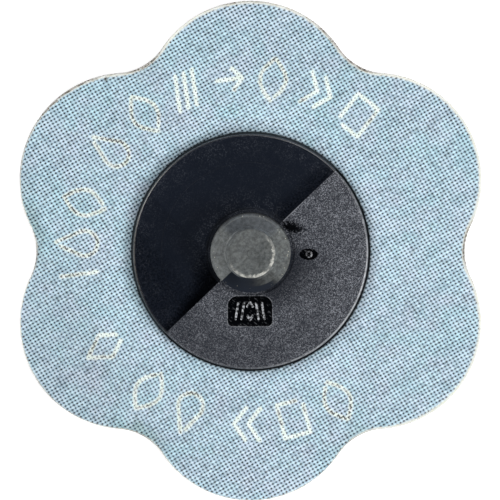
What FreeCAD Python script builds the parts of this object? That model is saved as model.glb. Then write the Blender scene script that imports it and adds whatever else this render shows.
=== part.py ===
import FreeCAD, Part
import math
import os

# Six-lobed flexible abrasive disc with a screw-on plastic hub.
# +Z runs along the hub's stud, away from the abrasive.  The origin is on the stud's axis, in
# the plane of the flange's seat.  The cloth and its coats lie below the flange, and the
# abrasive faces -Z.  Lengths are in millimetres, angles in degrees from +X.

Vector = FreeCAD.Vector
origin = Vector(0, 0, 0)
z_axis = Vector(0, 0, 1)

# ---------------------------------------------------------------- cloth outline
disc_diameter = 60.0          # across two opposite lobe tips
lobe_count = 6
first_lobe_deg = 30.0
valley_radius = 25.70         # axis to the bottom of a valley between two lobes
lobe_arc_radius = 12.77       # radius of the rounded lobe tip

# ---------------------------------------------------------------- laminate
bond_film_thickness = 0.10
bond_film_inset = 0.35        # the film's edge lies this far inside the flange's foot
back_finish_thickness = 0.03
layers_below_finish = [       # node, thickness; from the back finish downwards
    ("cloth_backing", 0.42),
    ("front_fill_coat", 0.05),
    ("make_coat", 0.06),
    ("abrasive_grain", 0.09),
    ("size_coat", 0.05),
]

# ---------------------------------------------------------------- hub flange
flange_foot_radius = 14.33    # widest radius, at the face bonded to the cloth
flange_rim_radius = 14.06     # radius at the top of the drafted side wall
flange_thickness = 1.30
flange_rim_round = 0.22       # rounding of the upper rim
seat_radius = 10.65           # raised seat round the stud
seat_step = 0.05              # drop and radial run from the seat to the outer zone
relief_radius = 5.30          # shallow relief in the seat, wider than the thread
relief_depth = 0.12
relief_wall_run = relief_depth * 1.6    # radial run of the relief's sloping wall
mould_line_deg = 43.8         # direction of the mould's parting plane, which holds the axis
mould_mismatch = 0.03         # the half holding -Y lies this much lower

# ---------------------------------------------------------------- stud
stud_height = 6.80            # above the seat
stud_overlap = 0.25           # how far the stud runs into the lower half of the flange
core_radius = 3.20            # root of the thread
root_fillet = 0.35            # between the flange and the stud
nose_radius = 2.90            # plain pilot above the thread
nose_start = 5.55             # height where the pilot begins
nose_taper_height = 0.12      # cone between the core and the pilot
nose_round = 0.35
dish_radius = 1.95            # shallow dish in the stud's end
dish_depth = 0.14
dish_mid_radius = dish_radius * 0.62    # middle point of the dish's arc
dish_mid_depth = dish_depth * 0.72
gate_radius = 0.45            # stub of the moulding gate, in the dish
gate_top_radius = gate_radius * 0.85
gate_height = 0.09

# ---------------------------------------------------------------- thread
thread_radius = 4.75          # crest
thread_pitch = 2.10
thread_turns = 1.5
thread_first_z = 1.36         # height of the ridge's centre line at its lower end
ridge_root_width = 1.80
ridge_crest_width = 0.90
ridge_round = 0.16
ridge_overlap = 0.30          # how far the ridge runs into the core
ridge_round_fullness = 0.55   # arc's middle point: 0 on the chord, 1 at the sharp corner

fin_length = 0.34             # moulding flash: radial length, thickness, height
fin_thickness = 0.10
fin_height = 0.62
fin_root_depth = 0.20         # start of a fin, inside the crest
fin_places = [(1, 0.0), (3, -0.09)]     # half turns from the ridge's lower end, sideways shift

# ---------------------------------------------------------------- marks on the flange
mark_cut_height = 1.0         # cutters reach clear above the flange

panel_x, panel_y = -0.07, -7.10         # centre of the sunk panel
panel_width, panel_height = 5.30, 3.60
panel_round_top = 1.15        # corners on the +Y side
panel_round_bottom = 0.55     # corners on the -Y side
panel_depth = 0.14
bar_relief = 0.10             # height of the bars above the panel's floor
bar_overlap = 0.05            # how far the bars run below the panel's floor
bar_width = 0.26
bar_half_height = 0.95
bar_slants = [(-1.72, 0.30), (-1.02, 0.30), (1.02, -0.30), (1.72, -0.30)]  # foot x, run to top
chevron_half_width = 0.32
chevron_foot_y, chevron_tip_y = 0.55, 1.05

oval_x, oval_y = 6.93, -0.30            # centre of the small oval recess
oval_width, oval_height = 2.20, 1.36
oval_depth = 0.14
ring_offset_x = 0.05          # raised ring in the oval, off its centre
ring_outer_radius, ring_inner_radius = 0.42, 0.22
ring_height = 0.12
ring_overlap = 0.03           # how far the ring runs below the oval's floor

# ---------------------------------------------------------------- marks burnt in the finish
mark_ring_radius = 20.75      # middle of the band of marks
mark_half_height = 2.30       # radial
mark_half_width = 1.45
mark_stroke = 0.45            # width of a burnt line
burn_below, burn_height = 0.2, 0.5      # cutters: start below the finish, total height

# Open lines of each mark: (u, v) as fractions of its half width and half height.
# u runs clockwise round the disc as seen from +Z, v outwards.
mark_shapes = {
    "box": [[(-1, -0.55), (-1, 0.8), (1, 0.8), (1, -0.8), (-0.45, -0.8)]],
    "hex": [[(-0.3, -0.9), (-1, -0.42), (-1, 0.42), (0, 0.95), (1, 0.42), (1, -0.42),
             (0.35, -0.78)]],
    "bars": [[(-1, -0.8), (-0.35, 0.8)],
             [(-0.3, -0.8), (0.35, 0.8)],
             [(0.4, -0.8), (1.05, 0.8)]],
    "chevrons": [[(-1, -0.75), (-0.1, 0), (-1, 0.75)],
                 [(0.1, -0.75), (1, 0), (0.1, 0.75)]],
    "kite": [[(-0.25, -0.75), (-1, 0), (0, 1), (1, 0), (0.3, -0.7)]],
    "arrow": [[(-1, 0), (1, 0)],
              [(0.25, 0.5), (1, 0), (0.25, -0.5)]],
    "tick": [[(0, -0.85), (0, 0.85)]],
}
mark_places = [               # direction, shape
    (144.0, "hex"), (126.8, "bars"), (112.0, "box"), (97.0, "arrow"), (82.6, "kite"),
    (67.0, "chevrons"), (51.8, "chevrons"),
    (187.6, "tick"), (177.2, "hex"), (165.2, "bars"),
    (213.2, "kite"),
    (233.8, "chevrons"), (248.8, "box"),
    (269.8, "bars"), (284.4, "hex"), (300.2, "arrow"),
]

# ---------------------------------------------------------------- derived heights
z_flange_bottom = -flange_thickness
z_bond = z_flange_bottom - bond_film_thickness
z_finish = z_bond - back_finish_thickness
z_low_seat = -mould_mismatch  # seat of the lower half, which holds the panel and the oval
z_panel_floor = z_low_seat - panel_depth
z_oval_floor = z_low_seat - oval_depth

# The middle of a quarter round lies this share of its radius in from each tangent side.
round_inset = 1.0 - math.sqrt(0.5)


# ---------------------------------------------------------------- helpers
def polar(radius, deg, z):
    angle = math.radians(deg)
    return Vector(radius * math.cos(angle), radius * math.sin(angle), z)


def in_section(radius, z):
    """A point of a section in the XZ plane."""
    return Vector(radius, 0, z)


def path_wire(place, start, steps):
    """A wire of lines [end] and arcs [middle, end]; place turns each pair into a vector."""
    edges = []
    here = place(*start)
    for step in steps:
        points = [place(*pair) for pair in step]
        if len(points) == 1:
            curve = Part.LineSegment(here, points[0])
        else:
            curve = Part.Arc(here, points[0], points[1])
        edges.append(curve.toShape())
        here = points[-1]
    return Part.Wire(edges)


def stroke(points, width, z_low, height):
    """A line of the given width with round ends and joints, as a thin solid."""
    solids = []
    for (x1, y1), (x2, y2) in zip(points, points[1:]):
        dx, dy = x2 - x1, y2 - y1
        length = math.hypot(dx, dy)
        side_x = -dy / length * width / 2.0
        side_y = dx / length * width / 2.0
        outline = Part.makePolygon([
            Vector(x1 + side_x, y1 + side_y, z_low), Vector(x2 + side_x, y2 + side_y, z_low),
            Vector(x2 - side_x, y2 - side_y, z_low), Vector(x1 - side_x, y1 - side_y, z_low),
            Vector(x1 + side_x, y1 + side_y, z_low)])
        solids.append(Part.Face(outline).extrude(Vector(0, 0, height)))
    for x, y in points:
        solids.append(Part.makeCylinder(width / 2.0, height, Vector(x, y, z_low)))
    return solids[0].multiFuse(solids[1:]).removeSplitter()


def unwrapped(shape):
    """The solid itself if there is only one, else a compound of the solids."""
    solids = shape.Solids
    return solids[0] if len(solids) == 1 else Part.makeCompound(solids)


# ---------------------------------------------------------------- laminate
def outline_wire(z):
    """Closed outline: each lobe tip arc runs tangent into a hollow valley arc."""
    tip_radius = disc_diameter / 2.0
    lobe_step = 360.0 / lobe_count
    lobe_centre = tip_radius - lobe_arc_radius
    # Cosine rule on the disc's axis and the centres of a lobe arc and a touching valley arc.
    lobe_across = lobe_centre * math.cos(math.radians(lobe_step / 2.0))
    valley_arc_radius = (
        (lobe_arc_radius ** 2 - lobe_centre ** 2 - valley_radius ** 2
         + 2.0 * valley_radius * lobe_across)
        / (2.0 * (valley_radius - lobe_across - lobe_arc_radius)))
    valley_centre = valley_radius + valley_arc_radius
    valley_share = valley_arc_radius / (lobe_arc_radius + valley_arc_radius)

    def tangent_point(valley_deg, tip_deg):
        valley = polar(valley_centre, valley_deg, z)
        return valley + (polar(lobe_centre, tip_deg, z) - valley) * valley_share

    edges = []
    for k in range(lobe_count):
        tip = first_lobe_deg + k * lobe_step
        valley = tip + lobe_step / 2.0
        lobe_start = tangent_point(tip - lobe_step / 2.0, tip)
        lobe_end = tangent_point(valley, tip)
        next_start = tangent_point(valley, tip + lobe_step)
        edges.append(Part.Arc(lobe_start, polar(tip_radius, tip, z), lobe_end).toShape())
        edges.append(Part.Arc(lobe_end, polar(valley_radius, valley, z), next_start).toShape())
    return Part.Wire(Part.__sortEdges__(edges))


def layer(z_low, thickness):
    return Part.Face(outline_wire(z_low)).extrude(Vector(0, 0, thickness))


def bond_film():
    radius = flange_foot_radius - bond_film_inset
    return Part.makeCylinder(radius, bond_film_thickness, Vector(0, 0, z_bond))


def mark_point(deg, u, v):
    """A point of the mark centred in direction deg, from its fractions u and v."""
    angle = math.radians(deg)
    across = u * mark_half_width
    radius = mark_ring_radius + v * mark_half_height
    return (radius * math.cos(angle) + across * math.sin(angle),
            radius * math.sin(angle) - across * math.cos(angle))


def back_finish():
    """Top coat of the cloth, with the marks cut right through it."""
    cutters = []
    for deg, name in mark_places:
        for line in mark_shapes[name]:
            points = [mark_point(deg, u, v) for u, v in line]
            cutters.append(stroke(points, mark_stroke, z_finish - burn_below, burn_height))
    sheet = layer(z_finish, back_finish_thickness)
    return sheet.cut(Part.makeCompound(cutters)).removeSplitter()


# ---------------------------------------------------------------- hub
def flange_half(start_deg, drop):
    """Half of the flange, as one half of the mould forms it; drop lowers its upper face."""
    seat = -drop
    outer = seat - seat_step
    relief_floor = seat - relief_depth
    relief_foot = relief_radius - relief_wall_run
    rim, rounding = flange_rim_radius, flange_rim_round
    inset = rounding * round_inset
    section = path_wire(in_section, (0, z_flange_bottom), [
        [(flange_foot_radius, z_flange_bottom)],
        [(rim, outer - rounding)],
        [(rim - inset, outer - inset), (rim - rounding, outer)],
        [(seat_radius + seat_step, outer)],
        [(seat_radius, seat)],
        [(relief_radius, seat)],
        [(relief_foot, relief_floor)],
        [(0, relief_floor)],
        [(0, z_flange_bottom)],
    ])
    half = Part.Face(section).revolve(origin, z_axis, 180.0)
    half.rotate(origin, z_axis, start_deg)
    return half


def stud():
    """Plain stud: filleted foot, thread core, pilot nose with a rounded rim and dished end."""
    foot = -relief_depth      # the fillet starts on the floor of the relief
    low = foot - mould_mismatch - stud_overlap
    foot_radius = core_radius + root_fillet
    foot_inset = root_fillet * round_inset
    nose_inset = nose_round * round_inset
    dish_floor = stud_height - dish_depth
    gate_top = dish_floor + gate_height
    section = path_wire(in_section, (0, low), [
        [(foot_radius, low)],
        [(foot_radius, foot)],
        [(core_radius + foot_inset, foot + foot_inset), (core_radius, foot + root_fillet)],
        [(core_radius, nose_start - nose_taper_height)],
        [(nose_radius, nose_start)],
        [(nose_radius, stud_height - nose_round)],
        [(nose_radius - nose_inset, stud_height - nose_inset),
         (nose_radius - nose_round, stud_height)],
        [(dish_radius, stud_height)],
        [(dish_mid_radius, stud_height - dish_mid_depth), (gate_radius, dish_floor)],
        [(gate_top_radius, gate_top)],
        [(0, gate_top)],
        [(0, low)],
    ])
    return Part.Face(section).revolve(origin, z_axis, 360.0)


def thread_ridge():
    """Right-hand helical ridge whose two ends are flat in the mould's parting plane."""
    slope = (ridge_root_width - ridge_crest_width) / 2.0 / (thread_radius - core_radius)
    inner_radius = core_radius - ridge_overlap
    inner_half = ridge_root_width / 2.0 + slope * ridge_overlap
    crest_half = ridge_crest_width / 2.0
    # Each crest corner is rounded from a point on the flank to a point on the crest.
    flank_length = math.hypot(1.0, slope)
    flank_r = thread_radius - ridge_round / flank_length
    flank_z = crest_half + ridge_round * slope / flank_length
    crest_z = crest_half - ridge_round
    full = ridge_round_fullness
    middle_r = (flank_r + thread_radius) / 2.0 * (1.0 - full) + thread_radius * full
    middle_z = (flank_z + crest_z) / 2.0 * (1.0 - full) + crest_half * full
    profile = path_wire(in_section, (inner_radius, inner_half), [
        [(flank_r, flank_z)],
        [(middle_r, middle_z), (thread_radius, crest_z)],
        [(thread_radius, -crest_z)],
        [(middle_r, -middle_z), (flank_r, -flank_z)],
        [(inner_radius, -inner_half)],
        [(inner_radius, inner_half)],
    ])
    helix = Part.makeHelix(thread_pitch, thread_pitch * thread_turns, thread_radius)
    ridge = Part.Wire(helix.Edges).makePipeShell([profile], True, True)
    ridge.rotate(origin, z_axis, mould_line_deg)
    ridge.translate(Vector(0, 0, thread_first_z))
    return ridge


def flash_fin(half_turns, shift):
    """Sliver of moulding flash where the parting plane crosses the ridge's crest."""
    z_centre = thread_first_z + thread_pitch * half_turns / 2.0
    corner = Vector(thread_radius - fin_root_depth, shift - fin_thickness / 2.0,
                    z_centre - fin_height / 2.0)
    fin = Part.makeBox(fin_length, fin_thickness, fin_height, corner)
    fin.rotate(origin, z_axis, mould_line_deg + 180.0 * half_turns)
    return fin


def panel_cutter():
    """Rectangle whose two +Y corners are rounder than its -Y ones."""
    left, right = panel_x - panel_width / 2.0, panel_x + panel_width / 2.0
    bottom, top = panel_y - panel_height / 2.0, panel_y + panel_height / 2.0
    low_round, high_round = panel_round_bottom, panel_round_top
    low_inset, high_inset = low_round * round_inset, high_round * round_inset
    outline = path_wire(lambda x, y: Vector(x, y, z_panel_floor), (left + low_round, bottom), [
        [(right - low_round, bottom)],
        [(right - low_inset, bottom + low_inset), (right, bottom + low_round)],
        [(right, top - high_round)],
        [(right - high_inset, top - high_inset), (right - high_round, top)],
        [(left + high_round, top)],
        [(left + high_inset, top - high_inset), (left, top - high_round)],
        [(left, bottom + low_round)],
        [(left + low_inset, bottom + low_inset), (left + low_round, bottom)],
    ])
    return Part.Face(outline).extrude(Vector(0, 0, mark_cut_height))


def panel_bars():
    """Raised bars in the panel: four slanted ones, then a chevron towards +Y and one to -Y."""
    lines = []
    for foot_x, run in bar_slants:
        lines.append([(foot_x, -bar_half_height), (foot_x + run, bar_half_height)])
    for side in (1, -1):
        lines.append([(-chevron_half_width, side * chevron_foot_y),
                      (0, side * chevron_tip_y),
                      (chevron_half_width, side * chevron_foot_y)])
    return [stroke([(panel_x + x, panel_y + y) for x, y in line], bar_width,
                   z_panel_floor - bar_overlap, bar_relief + bar_overlap)
            for line in lines]


def oval_cutter():
    centre = Vector(oval_x, oval_y, z_oval_floor)
    oval = Part.Ellipse(centre, oval_width / 2.0, oval_height / 2.0)
    face = Part.Face(Part.Wire([oval.toShape()]))
    return face.extrude(Vector(0, 0, mark_cut_height))


def oval_ring():
    base = Vector(oval_x + ring_offset_x, oval_y, z_oval_floor - ring_overlap)
    ring = Part.makeCylinder(ring_outer_radius, ring_height, base)
    return ring.cut(Part.makeCylinder(ring_inner_radius, ring_height, base))


def threaded_hub():
    flange = flange_half(mould_line_deg, 0.0)
    lower_half = flange_half(mould_line_deg + 180.0, mould_mismatch)
    flange = flange.fuse(lower_half).removeSplitter()
    spindle = stud().fuse(thread_ridge())
    for half_turns, shift in fin_places:
        spindle = spindle.fuse(flash_fin(half_turns, shift))
    body = flange.fuse(spindle)
    body = body.cut(panel_cutter())
    for bar in panel_bars():
        body = body.fuse(bar)
    body = body.cut(oval_cutter())
    return body.fuse(oval_ring())


# ---------------------------------------------------------------- all nodes
def build():
    nodes = {
        "threaded_hub": unwrapped(threaded_hub()),
        "hub_bond_film": bond_film(),
        "back_finish_coat": unwrapped(back_finish()),
    }
    z_low = z_finish
    for name, thickness in layers_below_finish:
        z_low -= thickness
        nodes[name] = layer(z_low, thickness)
    return nodes


os.makedirs("parts", exist_ok=True)
for name, shape in build().items():
    shape.exportStep(os.path.join("parts", name + ".step"))
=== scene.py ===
"""A six-lobed abrasive disc with a moulded, threaded hub.

The disc lies flat and centred on the Z axis. The hub and the woven cloth face +Z, the abrasive
grain faces -Z. Sizes are in millimetres, scaled by MM where they reach Blender.
"""
import math

import bmesh
import bpy
import numpy as np
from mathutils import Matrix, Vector
from mathutils.geometry import delaunay_2d_cdt


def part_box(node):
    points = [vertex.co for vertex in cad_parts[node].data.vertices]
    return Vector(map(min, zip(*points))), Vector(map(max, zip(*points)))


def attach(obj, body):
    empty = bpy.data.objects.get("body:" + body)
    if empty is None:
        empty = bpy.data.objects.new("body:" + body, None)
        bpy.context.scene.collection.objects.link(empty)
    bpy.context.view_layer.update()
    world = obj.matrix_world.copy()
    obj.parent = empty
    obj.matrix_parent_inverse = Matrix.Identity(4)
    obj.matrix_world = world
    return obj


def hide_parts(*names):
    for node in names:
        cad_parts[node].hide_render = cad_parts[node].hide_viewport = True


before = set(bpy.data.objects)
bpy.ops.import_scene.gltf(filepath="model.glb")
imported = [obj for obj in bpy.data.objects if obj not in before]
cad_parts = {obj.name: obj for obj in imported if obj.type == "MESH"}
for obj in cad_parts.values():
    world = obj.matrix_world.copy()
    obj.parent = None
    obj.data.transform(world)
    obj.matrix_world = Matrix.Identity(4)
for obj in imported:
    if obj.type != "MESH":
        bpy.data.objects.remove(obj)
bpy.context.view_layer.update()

MM = 0.001


def low_z(node):
    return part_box(node)[0].z / MM


# ------------------------------------------------------------------ driving dimensions
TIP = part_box("cloth_backing")[1].y / MM          # radius at a lobe's tip
VALLEY = 25.70                                   # radius at the bottom of a valley
LOBE_ARC = 12.77                                 # radius of a lobe's rounded tip
LOBE_TURN = math.pi / 3                          # angle from one lobe to the next
HALF_LOBE = math.pi / 6
Z_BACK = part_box("back_finish_coat")[1].z / MM    # the cloth's upper face, beside the hub
Z_CLOTH_LOW = low_z("cloth_backing")
Z_FILL_LOW = low_z("front_fill_coat")
Z_MAKE_LOW = low_z("make_coat")
Z_FACE = low_z("size_coat")                      # the working face
MOULD_LINE = 43.8                                # direction of the mould's parting plane, degrees


# ------------------------------------------------------------------ outline of the disc
def hollow_radius():
    """Radius of the valley arc that touches the arcs of the lobes, found by bisection."""
    lobe = TIP - LOBE_ARC
    low, high = 0.5, 60.0
    for _ in range(80):
        radius = 0.5 * (low + high)
        hollow = VALLEY + radius
        apart = math.sqrt(lobe * lobe + hollow * hollow - 2 * lobe * hollow * math.cos(HALF_LOBE))
        low, high = (radius, high) if apart - (LOBE_ARC + radius) > 0 else (low, radius)
    return 0.5 * (low + high)


HOLLOW_ARC = hollow_radius()
LOBE_CENTRE = np.array([math.cos(HALF_LOBE), math.sin(HALF_LOBE)]) * (TIP - LOBE_ARC)
HOLLOW_CENTRE = np.array([VALLEY + HOLLOW_ARC, 0.0])
TOUCH = LOBE_CENTRE + (HOLLOW_CENTRE - LOBE_CENTRE) * LOBE_ARC / (LOBE_ARC + HOLLOW_ARC)
TOUCH_ANGLE = math.atan2(TOUCH[1], TOUCH[0])


def outline_radius(theta):
    """Radius of the outline in a direction (radians)."""
    turn = np.mod(theta, LOBE_TURN)
    turn = np.where(turn > HALF_LOBE, LOBE_TURN - turn, turn)

    def along_and_depth(centre, arc):
        along = np.cos(turn) * centre[0] + np.sin(turn) * centre[1]
        return along, np.sqrt(np.maximum(along * along - (centre @ centre - arc ** 2), 0))

    lobe, lobe_depth = along_and_depth(LOBE_CENTRE, LOBE_ARC)
    hollow, hollow_depth = along_and_depth(HOLLOW_CENTRE, HOLLOW_ARC)
    return np.where(turn >= TOUCH_ANGLE, lobe + lobe_depth, hollow - hollow_depth)


def outline_slope(theta, radius):
    step = 1e-3
    rise = outline_radius(theta + step) - outline_radius(theta - step)
    return rise / (2 * step) / radius


def edge_distance(x, y):
    """How far a point lies inside the outline (nearly exact close to the edge)."""
    theta = np.arctan2(y, x)
    radius = np.hypot(x, y)
    slope = outline_slope(theta, np.maximum(radius, 1e-6))
    return (outline_radius(theta) - radius) / np.sqrt(1 + slope * slope)


def circle_angles(count):
    return np.arange(count) * 2 * math.pi / count


def outline_ring(inset, count):
    theta = circle_angles(count)
    radius = outline_radius(theta) - inset
    return np.stack([radius * np.cos(theta), radius * np.sin(theta)], 1)


# ------------------------------------------------------------------ noise, curves and colours
def value_noise(x, y, scale, seed):
    """Smooth repeatable 2-D noise, 0 to 1, with features about `scale` mm across."""
    grid = np.random.default_rng(seed).random((257, 257))
    across, up = x / scale + 128.37, y / scale + 128.91
    i, j = np.floor(across).astype(int), np.floor(up).astype(int)
    across, up = across - i, up - j
    across = across * across * (3 - 2 * across)
    up = up * up * (3 - 2 * up)
    i, j = np.mod(i, 256), np.mod(j, 256)
    return (grid[i, j] * (1 - across) * (1 - up) + grid[i + 1, j] * across * (1 - up)
            + grid[i, j + 1] * (1 - across) * up + grid[i + 1, j + 1] * across * up)


def smooth(low, high, value):
    """Smooth step from 0 at `low` to 1 at `high`."""
    part = np.clip((value - low) / (high - low), 0, 1)
    return part * part * (3 - 2 * part)


def fade(low, high, value):
    """Smooth step from 1 at `low` to 0 at `high`."""
    return 1 - smooth(low, high, value)


def bell(offset, width):
    return np.exp(-(offset / width) ** 2)


def angle_from(degrees, middle):
    """Signed angle from `middle`, -180 to 180 degrees."""
    return (degrees - middle + 180) % 360 - 180


def mix(under, over, amount):
    return under * (1 - amount[:, None]) + over * amount[:, None]


def srgb(red, green, blue):
    """Linear colour from 8-bit sRGB."""
    value = np.array([red, green, blue], float) / 255
    return np.where(value <= 0.04045, value / 12.92, ((value + 0.055) / 1.055) ** 2.4)


DYE_LIGHT = srgb(207, 228, 239)
DYE_MID = srgb(112, 142, 162)
# the next two colours are painted shade for the weave's holes and the yarns' lower parts; the
# deeper one is also the fill resin's own colour
HOLE_SHADE_BLUE = srgb(40, 70, 90)
DEEP_BLUE_AND_HOLE_SHADE = srgb(5, 22, 38)
CREAM = srgb(234, 236, 231)
WARM_CREAM = srgb(226, 224, 210)
MARK_PALE = srgb(237, 244, 242)
SINGED = srgb(120, 92, 70)
CHAR = srgb(74, 58, 36)
CHAR_DEEP = srgb(34, 27, 18)
SLATE = srgb(9, 25, 41)
BROWN = srgb(120, 84, 58)
RUST = srgb(120, 62, 44)
SIZE_LIGHT = srgb(138, 70, 52)
SIZE_DARK = srgb(98, 46, 36)

# ------------------------------------------------------------------ marks burnt into the cloth
MARK_RING = 20.75                 # radius of the ring the marks stand on
MARK_HALF = 5.10 / 2              # half of a mark's height
MARK_WIDE = 1.55                  # half of a mark's width
MARK_STROKE = 0.44
CURVED_MARKS = ("leaf", "drop")

# Straight-sided marks: lines of (across / MARK_WIDE, outwards / MARK_HALF)
STRAIGHT_MARKS = {
    "box": [[(-1, -0.55), (-1, 0.8), (1, 0.8), (1, -0.8), (-0.45, -0.8)]],
    "bars": [[(-1, -0.8), (-0.35, 0.8)], [(-0.3, -0.8), (0.35, 0.8)], [(0.4, -0.8), (1.05, 0.8)]],
    "chev": [[(-1, -0.75), (-0.1, 0), (-1, 0.75)], [(0.1, -0.75), (1, 0), (0.1, 0.75)]],
    "kite": [[(-0.25, -0.75), (-1, 0), (0, 1), (1, 0), (0.3, -0.7)]],
    "arrow": [[(-1, 0), (1, 0)], [(0.25, 0.5), (1, 0), (0.25, -0.5)]],
    "tick": [[(0, -0.85), (0, 0.85)]],
}

# Direction from the axis in degrees, mark
MARK_PLACES = [
    (144.0, "drop"), (127.6, "leaf"), (112.0, "bars"), (97.0, "arrow"), (82.6, "leaf"),
    (67.0, "chev"), (51.8, "box"), (187.6, "tick"), (177.2, "drop"), (163.6, "leaf"),
    (213.2, "kite"), (233.8, "leaf"), (248.8, "drop"), (268.8, "chev"), (284.4, "box"),
    (300.2, "leaf"),
]


def leaf_line():
    parts = [k / 11 for k in range(12)]
    left = [(-MARK_WIDE * math.sin(math.pi * part), -MARK_HALF + 2 * MARK_HALF * part)
            for part in parts]
    right = [(MARK_WIDE * math.sin(math.pi * part), MARK_HALF - 2 * MARK_HALF * part)
             for part in parts[1:-1]]
    return left + right


def drop_line():
    low, size = -MARK_HALF * 0.34, MARK_WIDE * 0.98
    turns = [math.radians(150 + 240 * k / 17) for k in range(18)]
    bowl = [(size * math.cos(turn), low + size * math.sin(turn)) for turn in turns]
    return [(-MARK_WIDE * 0.30, MARK_HALF * 0.80)] + bowl + [(0.0, MARK_HALF)]


def mark_lines():
    """Every burnt line in plan, with a flag for the curved ones."""
    shapes = {"leaf": [leaf_line()], "drop": [drop_line()]}
    for name, lines in STRAIGHT_MARKS.items():
        shapes[name] = [[(MARK_WIDE * across, MARK_HALF * out) for across, out in line]
                        for line in lines]
    placed = []
    for degrees, name in MARK_PLACES:
        cosine, sine = math.cos(math.radians(degrees)), math.sin(math.radians(degrees))
        for line in shapes[name]:
            placed.append((name in CURVED_MARKS,
                           [((MARK_RING + out) * cosine + across * sine,
                             (MARK_RING + out) * sine - across * cosine)
                            for across, out in line]))
    return placed


MARK_LINES = mark_lines()


def mark_distance(x, y):
    """Distance to the nearest burnt line, and 1 where that line is a curved one, else 0."""
    far, reach = 9.0, 4.2
    best = np.full(x.shape, far)
    curved = np.zeros(x.shape)
    for is_curved, line in MARK_LINES:
        mid_x, mid_y = np.mean(np.array(line), axis=0)
        near = np.nonzero((np.abs(x - mid_x) < reach) & (np.abs(y - mid_y) < reach))[0]
        if not len(near):
            continue
        near_x, near_y = x[near], y[near]
        distance = np.full(near_x.shape, far)
        for (x1, y1), (x2, y2) in zip(line, line[1:]):
            run, rise = x2 - x1, y2 - y1
            part = ((near_x - x1) * run + (near_y - y1) * rise) / (run * run + rise * rise)
            part = np.clip(part, 0, 1)
            distance = np.minimum(distance, np.hypot(near_x - x1 - part * run,
                                                     near_y - y1 - part * rise))
        closer = distance < best[near]
        curved[near[closer]] = 1.0 if is_curved else 0.0
        best[near] = np.minimum(best[near], distance)
    return best, curved


# ------------------------------------------------------------------ the weave's lattice
WARP_DIR, WARP_PITCH = math.radians(29.6), 0.404     # direction the yarns run, their spacing
WEFT_DIR, WEFT_PITCH = math.radians(121.0), 0.4515
WARP_NORMAL = np.array([-math.sin(WARP_DIR), math.cos(WARP_DIR)])
WEFT_NORMAL = np.array([-math.sin(WEFT_DIR), math.cos(WEFT_DIR)])
TO_PLAN = np.linalg.inv(np.array([WARP_NORMAL / WARP_PITCH, WEFT_NORMAL / WEFT_PITCH]))
Z_MID = Z_BACK - 0.195                               # middle plane of the weave
CRIMP = 0.082                                        # how far a yarn rises over the next one
HALF_THICK = 0.100                                   # half of a flattened yarn's thickness
HALF_WIDE = {"warp": 0.158, "weft": 0.170}
YARNS = 160                                          # yarns each side of the middle one
YARN_SEED = {"warp": 77, "weft": 78}

# Points of a yarn's section: a flattened superellipse, (across, up) from -1 to 1
SIDES = 8
SECTION = [(math.copysign(abs(math.cos(turn)) ** 0.75, math.cos(turn)),
            math.copysign(abs(math.sin(turn)) ** 0.80, math.sin(turn)))
           for turn in [2 * math.pi * (k + 0.5) / SIDES for k in range(SIDES)]]


def sway(warp, weft):
    """Slow drift of the yarns from a perfect lattice."""
    x = (0.10 * np.sin(warp * 0.052 + weft * 0.021 + 0.6)
         + 0.05 * np.sin(warp * 0.017 - weft * 0.096 + 2.1))
    y = (0.09 * np.sin(weft * 0.061 - warp * 0.018 + 1.3)
         + 0.05 * np.sin(warp * 0.101 + weft * 0.013 + 0.4))
    return x, y


def place_on_plan(warp, weft):
    """Lattice coordinates (across the warp, across the weft) to plan."""
    x = TO_PLAN[0, 0] * warp + TO_PLAN[0, 1] * weft
    y = TO_PLAN[1, 0] * warp + TO_PLAN[1, 1] * weft
    sway_x, sway_y = sway(warp, weft)
    return x + sway_x, y + sway_y


def lattice_at(x, y):
    """Plan position to lattice coordinates, refined by three fixed-point steps."""
    def straight(x, y):
        return ((WARP_NORMAL[0] * x + WARP_NORMAL[1] * y) / WARP_PITCH,
                (WEFT_NORMAL[0] * x + WEFT_NORMAL[1] * y) / WEFT_PITCH)

    warp, weft = straight(x, y)
    for _ in range(3):
        sway_x, sway_y = sway(warp, weft)
        warp, weft = straight(x - sway_x, y - sway_y)
    return warp, weft


def inside_runs(inside):
    """(start, stop) of each unbroken run of three or more stations inside the outline."""
    changes = np.flatnonzero(np.diff(np.r_[0, inside.astype(int), 0])).reshape(-1, 2)
    return [(start, stop) for start, stop in changes if stop - start >= 3]


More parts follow.
